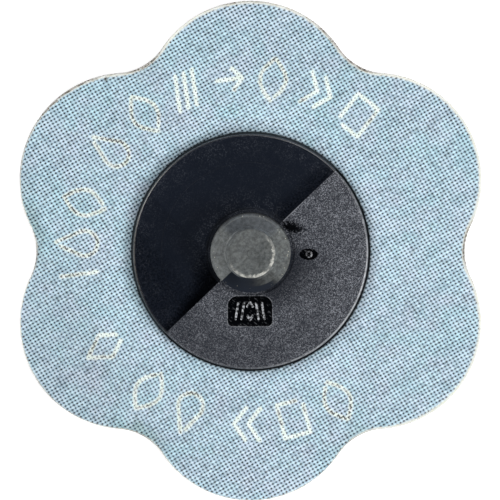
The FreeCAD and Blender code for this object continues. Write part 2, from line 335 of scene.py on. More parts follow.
def yarn_set(kind, first, last):
    """Closed tubes for the yarns numbered first to last - 1, run a little past the outline."""
    verts, faces = [], []
    base = 0
    noise = np.random.default_rng(YARN_SEED[kind])
    sign = 1.0 if kind == "warp" else -1.0
    fatness = 1 + 0.055 * noise.standard_normal(2 * YARNS + 1)
    stations = np.arange(-85, 85.01, 0.5)
    for i in range(first, last):
        number = np.full_like(stations, i)
        lattice = (number, stations) if kind == "warp" else (stations, number)
        all_x, all_y = place_on_plan(*lattice)
        for start, stop in inside_runs(edge_distance(all_x, all_y) > -0.55):
            x, y = all_x[start:stop], all_y[start:stop]
            count = len(x)
            wave = sign * np.cos(math.pi * (stations[start:stop] + i))
            run_x, run_y = np.gradient(x), np.gradient(y)
            length = np.hypot(run_x, run_y)
            jitter = noise.standard_normal((3, count))
            half_wide = HALF_WIDE[kind] * fatness[i + YARNS]
            half_wide = half_wide * (1 + 0.07 * wave + 0.035 * jitter[0])
            half_thick = HALF_THICK * (1 - 0.05 * wave + 0.03 * jitter[1])
            z = Z_MID + CRIMP * wave + 0.004 * jitter[2]
            tube = np.empty((count, SIDES, 3))
            for s, (across, up) in enumerate(SECTION):
                tube[:, s, 0] = x - run_y / length * half_wide * across
                tube[:, s, 1] = y + run_x / length * half_wide * across
                tube[:, s, 2] = z + half_thick * up
            verts.append(tube.reshape(-1, 3))
            for k in range(count - 1):
                ring = base + k * SIDES
                for s in range(SIDES):
                    after = (s + 1) % SIDES
                    faces.append((ring + s, ring + after,
                                  ring + SIDES + after, ring + SIDES + s))
            faces.append(tuple(base + s for s in reversed(range(SIDES))))
            faces.append(tuple(base + (count - 1) * SIDES + s for s in range(SIDES)))
            base += count * SIDES
    return np.concatenate(verts), faces


# ------------------------------------------------------------------ mesh helpers
def mesh_object(name, verts, faces):
    mesh = bpy.data.meshes.new(name)
    mesh.from_pydata((np.asarray(verts) * MM).tolist(), [], faces)
    mesh.validate()
    mesh.update()
    ob = bpy.data.objects.new(name, mesh)
    bpy.context.scene.collection.objects.link(ob)
    return ob


def outline_prism(inset, bottom, top, count=720):
    ring = outline_ring(inset, count)
    verts = np.concatenate([np.c_[ring, np.full(count, bottom)], np.c_[ring, np.full(count, top)]])
    faces = [tuple(reversed(range(count))), tuple(range(count, 2 * count))]
    faces += [(k, (k + 1) % count, count + (k + 1) % count, count + k) for k in range(count)]
    return mesh_object("cutter", verts, faces)


def keep_inside(ob, cutter):
    """Cuts a closed mesh to the cutter's outline, as the laser does."""
    cut = ob.modifiers.new("cut", "BOOLEAN")
    cut.operation = "INTERSECT"
    cut.solver = "MANIFOLD"
    cut.object = cutter
    graph = bpy.context.evaluated_depsgraph_get()
    mesh = bpy.data.meshes.new_from_object(ob.evaluated_get(graph), depsgraph=graph)
    old = ob.data
    ob.modifiers.clear()
    ob.data = mesh
    mesh.name = ob.name
    bpy.data.meshes.remove(old)


def read_field(items, name, kind=float, width=1):
    values = np.empty(len(items) * width, kind)
    items.foreach_get(name, values)
    return values


def coords(ob):
    return read_field(ob.data.vertices, "co", width=3).reshape(-1, 3) / MM


def paint(ob, colour):
    tint = ob.data.color_attributes.new("tint", "FLOAT_COLOR", "POINT")
    rgba = np.ones((len(ob.data.vertices), 4), np.float32)
    rgba[:, :3] = np.clip(colour, 0, 1)
    tint.data.foreach_set("color", rgba.ravel())
    ob.data.color_attributes.active_color = tint


def plan_uv(ob, facing):
    """Plan-view map; faces turned away from `facing` (+1 up, -1 down) go to a small corner copy."""
    width, corner, corner_scale = 61.0, 0.965, 0.06
    mesh = ob.data
    place = coords(ob)[read_field(mesh.loops, "vertex_index", np.int32)]
    totals = read_field(mesh.polygons, "loop_total", np.int32)
    up = read_field(mesh.polygons, "normal", width=3).reshape(-1, 3)[:, 2]
    uv = 0.5 + place[:, :2] / width
    away = np.repeat(up, totals) * facing < -0.02
    uv[away] = corner + place[away, :2] / width * corner_scale
    layer = mesh.uv_layers.new(name="OFBake")
    layer.data.foreach_set("uv", uv.ravel().astype(np.float32))


def paint_and_map(ob, colour, facing=1, smooth_shaded=True):
    paint(ob, colour)
    plan_uv(ob, facing)
    if smooth_shaded:
        ob.data.shade_smooth()


def assign(ob, mat):
    ob.data.materials.clear()
    ob.data.materials.append(mat)


def install(ob, mat, slot, *replaced):
    assign(ob, mat)
    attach(ob, "root")
    if replaced:
        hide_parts(*replaced)


# ------------------------------------------------------------------ colours of the cloth
NICK_AT = math.radians(130)          # where the laser started its cut
NICK_RADIUS = float(outline_radius(np.array([NICK_AT]))[0]) - 0.62
NICK = NICK_RADIUS * np.array([math.cos(NICK_AT), math.sin(NICK_AT)])

# Along the edge: middle of the spot in degrees, half-width in degrees, strength
SOOT_SPOTS = ((239, 8, 1.0), (172, 11, 0.8), (300, 7, 0.5), (60, 5, 0.5), (119, 6, 0.4))
BROWN_SPOTS = ((140, 12, 1.0), (119, 5, 0.9), (158, 7, 0.3), (60, 4.5, 1.0), (69, 5, 0.6),
               (92, 7, 0.55), (181, 5, 0.95), (1, 6, 0.9), (239, 7, 0.5), (299, 7, 0.45),
               (75, 9, 0.25), (215, 9, 0.35))

# Random values per lattice cell: warp crossings, weft crossings, holes, whole yarns
CELL_RANDOM = np.random.default_rng(9).random((4, 512, 512))


def pale_edge(theta):
    """How wide the cream band along the edge is, by direction, 0 to 1."""
    degrees = np.degrees(np.mod(theta, 2 * math.pi))
    return 0.04 + 0.96 * smooth(66, 92, np.abs(angle_from(degrees, 225)))


def burn(theta):
    """How brown the laser left the edge, by direction: 0 pale to 1 dark."""
    degrees = np.degrees(np.mod(theta, 2 * math.pi))
    total = sum(strength * bell(angle_from(degrees, middle), half)
                for middle, half, strength in BROWN_SPOTS)
    return np.clip(total, 0, 1)


def weave_colour(x, y, z, kind):
    """Dyed weave, with a painted highlight on the yarns' crowns and painted shade in its holes: its
    colour, then the cell random, fine mottle, gap and hole measures.
    """
    warp, weft = lattice_at(x, y)
    off_warp = np.abs(warp - np.round(warp))      # 0 on a yarn's middle, 0.5 between yarns
    off_weft = np.abs(weft - np.round(weft))
    i, j = np.mod(np.round(warp).astype(int), 512), np.mod(np.round(weft).astype(int), 512)
    own = CELL_RANDOM[0 if kind == "warp" else 1][i, j]
    pit = CELL_RANDOM[2][np.mod(np.floor(warp).astype(int), 512),
                         np.mod(np.floor(weft).astype(int), 512)]
    yarn = CELL_RANDOM[3][i, 7] - 0.5             # some warp yarns are paler than others
    patch = (0.17 * (value_noise(x, y, 3.1, 5) - 0.5)
             + 0.20 * (value_noise(x, y, 0.9, 6) - 0.5))
    broad = value_noise(x, y, 7.5, 8) - 0.5
    # the middles of both sets of yarns are painted paler: rubbed dye, and a painted highlight on
    # their crowns
    row = fade(0.16, 0.48, off_warp)
    rank = fade(0.16, 0.48, off_weft)
    # crossings where the warp is on top are made paler
    over = 1.7 * np.cos(math.pi * (warp - weft)) - 0.6 * np.cos(math.pi * (warp + weft))
    light = (0.050 + 0.54 * row + 0.42 * rank + 0.07 * over + 0.32 * patch
             + 0.37 * (own - 0.5) + 0.12 * yarn + 0.05 * broad)
    colour = mix(DYE_MID, DYE_LIGHT, np.clip(light, 0, 1.12))
    # painted shade in the hole between four yarns, some holes black and some lighter, and on the
    # yarns' lower parts
    open_part = np.clip(0.66 + 1.3 * (pit - 0.38) - 0.9 * patch, 0.10, 1.0)
    wider = np.clip(1.1 * (pit - 0.45) - 0.5 * patch, 0, 0.6)
    hole = (smooth(0.22 - 0.12 * wider, 0.40 - 0.16 * wider, off_warp)
            * smooth(0.20 - 0.12 * wider, 0.40 - 0.16 * wider, off_weft))
    deep = fade(Z_MID - 0.06, Z_MID + 0.04, z)
    colour = mix(colour, HOLE_SHADE_BLUE, np.clip(1.45 * hole * (0.50 + 0.50 * open_part), 0, 1))
    colour = mix(colour, DEEP_BLUE_AND_HOLE_SHADE, np.clip(np.maximum(hole * open_part * 1.30, 0.9 * deep), 0, 1))
    # drift of hue from yarn to yarn and across the disc
    hue = value_noise(x, y, 1.5, 31) * 0.6 + value_noise(x, y, 5.5, 32) * 0.4 - 0.5
    colour = colour * (1 + hue[:, None] * np.array([0.20, -0.015, 0.02]))
    return colour, own, patch, off_warp + off_weft, hole


def burn_marks(colour, x, y, own, gap, hole):
    """In the marks the dressing is gone, the fibre is cream and the holes are charred."""
    distance, curved = mark_distance(x, y)
    wobble = 0.07 * (value_noise(x, y, 0.35, 44) - 0.5)
    line = fade(MARK_STROKE / 2 - 0.02, MARK_STROKE / 2 + 0.08, distance + wobble)
    pale = mix(MARK_PALE, MARK_PALE * np.array([0.90, 0.92, 0.86]), np.clip(own * 0.9, 0, 1))
    colour = mix(colour, pale, line * (1 - 0.22 * hole))
    # a broken charred core along the middle of the line
    tone = value_noise(x, y, 2.3, 45)
    charred = np.where(curved > 0.5, 0.30 + 0.70 * smooth(0.40, 0.52, tone),
                       0.75 * smooth(0.56, 0.68, tone))
    dash = smooth(0.40, 0.56, gap + 0.10 * (value_noise(x, y, 0.42, 46) - 0.5))
    core = fade(0.075, 0.125, distance + 0.6 * wobble) * charred * dash
    colour = mix(colour, CHAR, np.clip(core * 1.2, 0, 1))
    colour = mix(colour, CHAR_DEEP, np.clip(core * (0.80 + 0.6 * hole), 0, 1))
    dots = line * hole * smooth(0.40, 0.60, tone) * (0.45 + 0.55 * curved)
    return mix(colour, CHAR_DEEP, np.clip(dots * 0.85, 0, 1))


def darken_by_hub(colour, x, y, degrees, patch):
    """Painted shade on the threads round the hub: a soft contact shadow, strongest towards 152
    degrees, and a dark line at the flange's foot, strongest towards -30 degrees; further out the
    tone changes a little with radius and direction.
    """
    radius, theta = np.hypot(x, y), np.arctan2(y, x)
    strength = 0.20 + 0.18 * bell(degrees - 152, 40) - 0.11 * bell(degrees - 250, 38)
    painted_contact_shade = fade(14.2, 15.8 + 0.8 * patch, radius) * strength
    painted_foot_shadow = fade(14.36, 14.50, radius) * (0.64 + 0.34 * np.cos(theta + math.radians(30)))
    faded = (1 + 0.03 * fade(15.5, 19.0, radius)
             - 0.055 * smooth(18.5, 23.0, radius) * bell(degrees - 212, 24))
    return colour * ((1 - painted_contact_shade) * (1 - painted_foot_shadow) * faded ** 2.2)[:, None]


def sear_edge(colour, x, y, degrees):
    """The scorched pit where the cut started, then soot, cream band and browning at the edge."""
    from_nick = np.hypot(x - NICK[0], y - NICK[1])
    colour = mix(colour, CHAR, fade(0.10, 0.34, from_nick) * 0.8)
    edge, theta = edge_distance(x, y), np.arctan2(y, x)
    soot = np.zeros(len(x))
    for middle, half, strength in SOOT_SPOTS:
        soot = np.maximum(soot, strength * bell(angle_from(degrees, middle), half))
    soot = soot * fade(0.2, 1.9, edge + 1.2 * (value_noise(x, y, 1.1, 53) - 0.5))
    colour = colour * (1 - soot[:, None] * np.array([0.34, 0.27, 0.32]))
    band = 0.02 + 0.29 * pale_edge(theta)
    rim = fade(band, band + 0.15, edge + 0.12 * (value_noise(x, y, 0.4, 51) - 0.5))
    colour = mix(colour, CREAM * 0.92, rim * 0.85)
    brown = burn(theta) * fade(0.05, 0.45, edge + 0.25 * (value_noise(x, y, 0.5, 52) - 0.5))
    return mix(colour, SINGED, np.clip(brown * 0.55, 0, 1))


def cloth_colour(place, kind):
    x, y, z = place.T
    degrees = np.mod(np.degrees(np.arctan2(y, x)), 360.0)
    colour, own, patch, gap, hole = weave_colour(x, y, z, kind)
    colour = burn_marks(colour, x, y, own, gap, hole)
    colour = darken_by_hub(colour, x, y, degrees, patch)
    return sear_edge(colour, x, y, degrees)


# ------------------------------------------------------------------ shader helpers
class Signal:
    """A shader output that takes arithmetic; each operation adds one Math node."""

    def __init__(self, graph, socket):
        self.graph = graph
        self.socket = socket

    def __add__(self, other):
        return self.graph.math("ADD", self, other)

    def __radd__(self, other):
        return self.graph.math("ADD", other, self)

    def __sub__(self, other):
        return self.graph.math("SUBTRACT", self, other)

    def __rsub__(self, other):
        return self.graph.math("SUBTRACT", other, self)

    def __mul__(self, other):
        return self.graph.math("MULTIPLY", self, other)

    def __truediv__(self, other):
        return self.graph.math("DIVIDE", self, other)

    def __pow__(self, other):
        return self.graph.math("POWER", self, other)

    def __abs__(self):
        return self.graph.math("ABSOLUTE", self)

    def at_least(self, other):
        return self.graph.math("MAXIMUM", self, other)

    def at_most(self, other):
        return self.graph.math("MINIMUM", self, other)

    def ramp(self, over, to=(0.0, 1.0)):
        """Smooth step between the values `to` while the signal crosses `over`."""
        inputs = {"Value": self, "From Min": over[0], "From Max": over[1],
                  "To Min": to[0], "To Max": to[1]}
        return self.graph.node("MapRange", "Result", inputs, interpolation_type="SMOOTHSTEP")

    def fade(self, over):
        return self.ramp(over, to=(1.0, 0.0))

    def scaled(self, factor):
        """The signal as a vector or colour, times a factor."""
        return self.graph.node("VectorMath", 0, {0: self, "Scale": factor}, operation="SCALE")


class Graph:
    """Short names for building a node tree."""

    def __init__(self, tree):
        self.tree = tree
        tree.nodes.clear()

    def put(self, socket, value):
        if isinstance(value, Signal):
            self.tree.links.new(value.socket, socket)
        else:
            socket.default_value = value

    def node(self, kind, output=None, inputs=None, **settings):
        """Adds a node and returns one of its outputs, or all of them in a list."""
        made = self.tree.nodes.new("ShaderNode" + kind)
        for key, value in settings.items():
            setattr(made, key, value)
        for key, value in (inputs or {}).items():
            self.put(made.inputs[key], value)
        if output is None:
            return [Signal(self, socket) for socket in made.outputs]
        return Signal(self, made.outputs[output])

    def math(self, operation, *values):
        return self.node("Math", 0, dict(enumerate(values)), operation=operation)

    def noise(self, vector, scale, detail=2.0, rough=0.5):
        inputs = {"Vector": vector, "Scale": scale, "Detail": detail, "Roughness": rough}
        return self.node("TexNoise", "Fac", inputs)

    def cells(self, vector, scale, output):
        return self.node("TexVoronoi", output, {"Vector": vector, "Scale": scale})

    def mix(self, amount, under, over):
        under, over = [colour if isinstance(colour, Signal) else (*colour, 1.0)
                       for colour in (under, over)]
        return self.node("Mix", 2, {0: amount, 6: under, 7: over}, data_type="RGBA")

    def position(self):
        """Object-space position in millimetres."""
        return self.node("TexCoord", "Object").scaled(1000.0)

    def split(self, vector):
        return self.node("SeparateXYZ", inputs={0: vector})

    def turned(self, vector, angle, scale):
        inputs = {"Vector": vector, "Rotation": (0, 0, angle), "Scale": scale}
        return self.node("Mapping", 0, inputs, vector_type="TEXTURE")

    def bump(self, height, strength, distance):
        inputs = {"Strength": strength, "Distance": distance, "Height": height}
        return self.node("Bump", 0, inputs)

    def tint(self):
        return self.node("Attribute", "Color", attribute_name="tint")

    def surface(self, inputs):
        """A Principled surface linked to the output."""
        shader = self.node("BsdfPrincipled", "BSDF", inputs)
        self.node("OutputMaterial", inputs={"Surface": shader})


def new_material(name):
    mat = bpy.data.materials.new(name)
    mat.use_nodes = True
    return mat, Graph(mat.node_tree)


def length(across, up):
    return across.graph.math("SQRT", across * across + up * up)


def blend(start, end, amount):
    return start + amount * (end - start)


def yarn_material(name, direction):
    mat, graph = new_material(name)
    place = graph.position()
    # fibres twisted at a small angle to the yarn
    along_fibre = graph.turned(place, angle=direction + 0.35, scale=(0.55, 0.045, 0.2))
    fibre = graph.noise(along_fibre, scale=1.0, detail=3.0, rough=0.6)
    fuzz = graph.noise(place, scale=9.0, rough=0.6)
    shade = (fibre.ramp(over=(0.25, 0.75), to=(0.86, 1.10))
             + fuzz.ramp(over=(0.3, 0.7), to=(-0.04, 0.04)))
    graph.surface({
        "Base Color": graph.tint().scaled(shade),
        "Roughness": 0.86,
        "Specular IOR Level": 0.12,
        "Sheen Weight": 0.04,
        "Sheen Roughness": 0.5,
        "Normal": graph.bump(fibre, strength=0.55, distance=0.00003),
    })
    return mat


def tinted_material(name, rough_to, bump, shade_scale=6.0, shade_rough=0.6,
                    shade_over=(0.3, 0.7), shade_to=(0.8, 1.2), rough_scale=3.0,
                    bump_scale=12.0, specular=0.5):
    """The painted tint with mottled shade and roughness, and a fine bump."""
    mat, graph = new_material(name)
    place = graph.position()
    mottle = graph.noise(place, scale=shade_scale, detail=3.0, rough=shade_rough)
    sheen = graph.noise(place, scale=rough_scale)
    graph.surface({
        "Base Color": graph.tint().scaled(mottle.ramp(shade_over, shade_to)),
        "Roughness": sheen.ramp(over=(0.3, 0.7), to=rough_to),
        "Specular IOR Level": specular,
        "Normal": graph.bump(graph.noise(place, scale=bump_scale), bump, distance=0.00002),
    })
    return mat


# ------------------------------------------------------------------ the woven cloth
def build_yarns():
    cutter = outline_prism(inset=0.03, bottom=-4.0, top=2.0)
    yarns = []
    for kind, direction in (("warp", WARP_DIR), ("weft", WEFT_DIR)):
        mat = yarn_material(kind + "_yarn", direction)
        for tag, first, last in (("a", -YARNS, 0), ("b", 0, YARNS + 1)):
            ob = mesh_object(f"{kind}_yarns_{tag}", *yarn_set(kind, first, last))
            keep_inside(ob, cutter)
            paint_and_map(ob, cloth_colour(coords(ob), kind))
            install(ob, mat, "back_finish")
            yarns.append(ob)
    for ob in (yarns[0], yarns[2]):
        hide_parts("cloth_backing", "back_finish_coat")
    bpy.data.objects.remove(cutter)


build_yarns()


# ------------------------------------------------------------------ sheets inside the outline
def scatter(step, inset, jitter, seed):
    """Jittered triangular lattice inside the outline."""
    random = np.random.default_rng(seed)
    row_step = 0.866
    columns, rows = int(32 / step), int(32 / (step * row_step))
    i, j = np.meshgrid(np.arange(-columns, columns + 1), np.arange(-rows, rows + 1))
    points = np.c_[((i + 0.5 * (j % 2)) * step).ravel(), (j * step * row_step).ravel()]
    points = points + jitter * step * (random.random(points.shape) - 0.5)
    return points[edge_distance(points[:, 0], points[:, 1]) > inset]


def triangulate(ring, inner):
    points = np.concatenate([ring, inner])
    result = delaunay_2d_cdt([Vector(point) for point in points], [], [list(range(len(ring)))],
                             1, 1e-7)
    return np.array([tuple(point) for point in result[0]]), [tuple(face) for face in result[2]]


def turned_face(face, points, upward):
    """The face wound so that it looks up, or down."""
    first, second, third = (points[k] for k in face[:3])
    winding = ((second[0] - first[0]) * (third[1] - first[1])
               - (second[1] - first[1]) * (third[0] - first[0]))
    return face if (winding > 0) == upward else tuple(reversed(face))


def slab(name, inset, top_z, low_z, top_step, low_step, seed, jitter=0.5, ring_count=1200):
    """A closed sheet inside the outline, with a height function for each side."""
    ring = outline_ring(inset, ring_count)
    top, top_faces = triangulate(ring, scatter(top_step, inset + 0.35 * top_step, jitter, seed))
    low, low_faces = triangulate(ring,
                                 scatter(low_step, inset + 0.35 * low_step, jitter, seed + 1))
    base = len(top)
    verts = np.concatenate([np.c_[top, top_z(top[:, 0], top[:, 1])],
                            np.c_[low, low_z(low[:, 0], low[:, 1])]])
    faces = [turned_face(face, top, True) for face in top_faces]
    faces += [tuple(base + k for k in turned_face(face, low, False)) for face in low_faces]
    faces += [(base + k, base + (k + 1) % ring_count, (k + 1) % ring_count, k)
              for k in range(ring_count)]
    return mesh_object(name, verts, faces)


def level_at(height):
    return lambda x, y: np.full(x.shape, height)


def build_fill():
    """Dark resin seen through the holes of the weave."""
    fill = slab("fill_sheet", inset=0.03,
                top_z=lambda x, y: Z_MID - 0.055 + 0.035 * (value_noise(x, y, 0.30, 61) - 0.5),
                low_z=level_at(Z_FILL_LOW), top_step=0.34, low_step=1.6, seed=101)
    x, y, _ = coords(fill).T
    colour = mix(SLATE, DEEP_BLUE_AND_HOLE_SHADE, value_noise(x, y, 1.1, 62) * 0.8)
    colour = mix(colour, CHAR_DEEP, fade(0.15, 0.30, mark_distance(x, y)[0]) * 0.8)
    scorched = mix(BROWN, CHAR_DEEP, burn(np.arctan2(y, x)))
    colour = mix(colour, scorched, fade(0.20, 0.42, edge_distance(x, y)))
    paint_and_map(fill, colour)
    mat = tinted_material("fill_resin_slate", rough_to=(0.45, 0.7), bump=0.4, shade_scale=5.0,
                          rough_scale=9.0, bump_scale=14.0, specular=0.12)
    install(fill, mat, "fill_resin", "front_fill_coat")


build_fill()

# ------------------------------------------------------------------ fibres melted along the cut
# Section from the outer foot over the top: inward (share of width), height (-1 foot, 1 top),
# how much it takes of the browning, and of the charring
RIM_SECTION = np.array([
    (0.00, -1.0, 1.0, 1.0), (0.00, -0.45, 1.0, 1.0), (0.02, 0.35, 0.9, 1.0),
    (0.10, 0.80, 0.6, 1.0), (0.30, 1.0, 0.2, 1.0), (0.55, 0.98, 0, 0.55),
    (0.80, 0.75, 0, 0.1), (0.98, 0.25, 0, 0), (1.05, -0.35, 0, 0), (1.00, -0.8, 0, 0),
    (0.9, -1.0, 0, 0),
])
RIM_COUNT = 2880


def rim_mesh(theta, brown):
    radius = outline_radius(theta)
    lean = np.sqrt(1 + outline_slope(theta, radius) ** 2)
    edge_x, edge_y = radius * np.cos(theta), radius * np.sin(theta)
    medium = value_noise(edge_x, edge_y, 0.42, 71) - 0.5
    slow = value_noise(edge_x, edge_y, 1.7, 72) - 0.5
    fine = value_noise(edge_x, edge_y, 0.20, 73) - 0.5
    pale = pale_edge(theta)
    kerf = 0.035 + 0.11 * brown * smooth(-0.3, 0.3, slow + 0.2)
    width = 0.09 + 0.20 * pale + 0.12 * medium * (0.4 + 0.6 * pale) + 0.05 * fine
    top = Z_BACK - 0.030 + 0.045 * medium + 0.02 * fine - 0.02 * brown
    bottom = Z_CLOTH_LOW - 0.03
    sides = len(RIM_SECTION)
    verts = np.empty((RIM_COUNT, sides, 3))
    for s, (inward, up) in enumerate(RIM_SECTION[:, :2]):
        rough = 0.012 * (value_noise(edge_x + 7.3 * s, edge_y, 0.25, 74) - 0.5)
        reach = radius - (kerf + inward * width + rough) * lean
        verts[:, s, 0] = reach * np.cos(theta)
        verts[:, s, 1] = reach * np.sin(theta)
        verts[:, s, 2] = (top + bottom) / 2 + (top - bottom) / 2 * up
    faces = []
    for k in range(RIM_COUNT):
        here, there = k * sides, ((k + 1) % RIM_COUNT) * sides
        for s in range(sides):
            after = (s + 1) % sides
            faces.append((here + s, there + s, there + after, here + after))
    return mesh_object("laser_cut_rim", verts.reshape(-1, 3), faces)


def build_rim():
    theta = circle_angles(RIM_COUNT)
    brown = burn(theta)
    rim = rim_mesh(theta, brown)
    x, y, _ = coords(rim).T
    sides = len(RIM_SECTION)
    tone = value_noise(x, y, 0.8, 75)
    fine = value_noise(x, y, 0.25, 76)
    brown = np.repeat(brown, sides)
    browned, seared = (np.tile(RIM_SECTION[:, k], RIM_COUNT) for k in (2, 3))
    colour = mix(CREAM * 0.97, WARM_CREAM, tone)
    colour = mix(colour, BROWN, np.clip(browned * (0.05 + brown) * (0.6 + 0.8 * fine), 0, 1))
    charred = np.clip(brown * (0.60 + 0.75 * smooth(0.30, 0.70, tone)) * seared, 0, 1) * 0.97
    colour = mix(colour, mix(CHAR, CHAR_DEEP, brown * 0.7), charred)
    nick = np.repeat(bell(np.degrees(theta - NICK_AT), 0.75), sides)
    colour = mix(colour, CREAM, np.clip(nick * 1.2, 0, 1))
    paint_and_map(rim, colour)
    mat = tinted_material("cut_edge_fibre", rough_to=(0.55, 0.85), bump=0.5, shade_scale=7.0,
                          shade_rough=0.65, shade_over=(0.25, 0.75), shade_to=(0.82, 1.12),
                          rough_scale=4.0, bump_scale=16.0, specular=0.35)
    install(rim, mat, "cloth", "cloth_backing")


build_rim()


# ------------------------------------------------------------------ the grain side
def face_height(x, y):
    """Lumpy lower face of the size resin."""
    lumps = (0.028 * value_noise(x, y, 0.45, 81) + 0.022 * value_noise(x, y, 0.17, 82)
             + 0.03 * value_noise(x, y, 2.4, 83))
    return Z_FACE + 0.012 + lumps


def build_make_resin():
    make = slab("make_resin", inset=0.012, top_z=level_at(Z_FILL_LOW + 0.004),
                low_z=lambda x, y: Z_MAKE_LOW - 0.03 + 0.02 * (value_noise(x, y, 0.5, 84) - 0.5),
                top_step=1.8, low_step=0.60, seed=111)
    x, y, _ = coords(make).T
    colour = mix(RUST * 0.8, BROWN * 0.7, value_noise(x, y, 1.4, 85))
    burnt = fade(0.1, 0.5, edge_distance(x, y)) * burn(np.arctan2(y, x))
    paint_and_map(make, mix(colour, CHAR_DEEP, burnt), facing=-1)
    mat = tinted_material("make_resin_brown", rough_to=(0.35, 0.6), bump=0.3)
    install(make, mat, "bond_resin", "make_coat")


def build_size_resin():
    skin = slab("size_resin_skin", inset=0.0, top_z=level_at(Z_MAKE_LOW - 0.012),
                low_z=face_height, top_step=1.8, low_step=0.205, seed=121, jitter=0.7,
                ring_count=1440)
    x, y, _ = coords(skin).T
    edge = edge_distance(x, y)
    tone = value_noise(x, y, 3.2, 86) * 0.5 + value_noise(x, y, 0.3, 87) * 0.5
    colour = mix(SIZE_LIGHT, SIZE_DARK, tone)
    colour = mix(colour, CHAR, fade(0.0, 0.35, edge) * 0.7)
    burnt = fade(0.05, 0.45, edge) * burn(np.arctan2(y, x)) * 0.9
    paint_and_map(skin, mix(colour, CHAR_DEEP, burnt), facing=-1)
    mat = tinted_material("size_resin_red_brown", rough_to=(0.28, 0.5), bump=0.3)
    install(skin, mat, "size_resin", "size_coat")


GRAIN_PARTS = "abc"
GRAIN_PALE, GRAIN_MID, GRAIN_DARK = srgb(196, 168, 140), srgb(150, 96, 74), srgb(112, 66, 52)
OCTAHEDRON = np.array([(1, 0, 0), (-1, 0, 0), (0, 1, 0), (0, -1, 0), (0, 0, 1), (0, 0, -1)], float)
OCTAHEDRON_FACES = np.array([(0, 2, 4), (2, 1, 4), (1, 3, 4), (3, 0, 4),
                             (2, 0, 5), (1, 2, 5), (3, 1, 5), (0, 3, 5)])


def grain_block(points, seed):
    """An uneven, randomly turned octahedron at each point, with a colour for each vertex."""
    random = np.random.default_rng(seed)
    count = len(points)
    turn = random.standard_normal((count, 4))
    turn /= np.linalg.norm(turn, axis=1)[:, None]
    real, x, y, z = turn.T
    rows = [(1 - 2 * (y * y + z * z), 2 * (x * y - z * real), 2 * (x * z + y * real)),
            (2 * (x * y + z * real), 1 - 2 * (x * x + z * z), 2 * (y * z - x * real)),
            (2 * (x * z - y * real), 2 * (y * z + x * real), 1 - 2 * (x * x + y * y))]
    rotation = np.stack([np.stack(row, -1) for row in rows], 1)
    local = (OCTAHEDRON[None] * (0.55 + 0.75 * random.random((count, 6, 1)))
             + 0.16 * random.standard_normal((count, 6, 3)))
    local *= (0.052 + 0.034 * random.random((count, 1, 1)))
    verts = np.einsum("nij,nkj->nki", rotation, local)
    verts[:, :, 0] += points[:, None, 0]
    verts[:, :, 1] += points[:, None, 1]
    height = face_height(points[:, 0], points[:, 1]) + 0.018
    verts[:, :, 2] += (height + 0.012 * random.random(count))[:, None]
    verts[:, :, 2] = np.maximum(verts[:, :, 2], Z_FACE - 0.004)
    faces = (np.arange(count)[:, None, None] * 6 + OCTAHEDRON_FACES[None]).reshape(-1, 3)
    tone = random.random(count)[:, None]
    shade = np.where(tone > 0.9, GRAIN_PALE, np.where(tone > 0.45, GRAIN_MID, GRAIN_DARK))
    shade = shade * (0.8 + 0.4 * random.random((count, 1)))
    return verts.reshape(-1, 3), faces, np.repeat(shade, 6, axis=0)


def build_grain():
    """The grains, in one object for each sector of the disc."""
    points = scatter(step=0.195, inset=0.05, jitter=0.85, seed=131)
    np.random.default_rng(132).shuffle(points)
    parts = len(GRAIN_PARTS)
    turns = np.arctan2(points[:, 1], points[:, 0]) / (2 * math.pi) + 0.5
    sector = np.floor(turns * parts).astype(int) % parts
    mat = tinted_material("fused_alumina", rough_to=(0.22, 0.5), bump=0.15)
    for k, tag in enumerate(GRAIN_PARTS):
        verts, faces, shade = grain_block(points[sector == k], 140 + k)
        ob = mesh_object("grain_" + tag, verts, faces.tolist())
        paint_and_map(ob, shade, facing=-1, smooth_shaded=False)
        install(ob, mat, "grain", "abrasive_grain")


build_make_resin()
build_size_resin()
build_grain()

# ------------------------------------------------------------------ glue film under the hub
# Section from below round the outside: offset from the film's radius, height over Z_BACK, wavy
FILM_SECTION = [(-0.9, -0.05, False), (-0.12, -0.055, True), (0.05, -0.035, True),
                (0.09, 0.01, True), (0.05, 0.055, True), (-0.03, 0.09, False),
                (-0.9, 0.095, False)]
FILM_COUNT = 720
FILM_RADIUS = 13.90


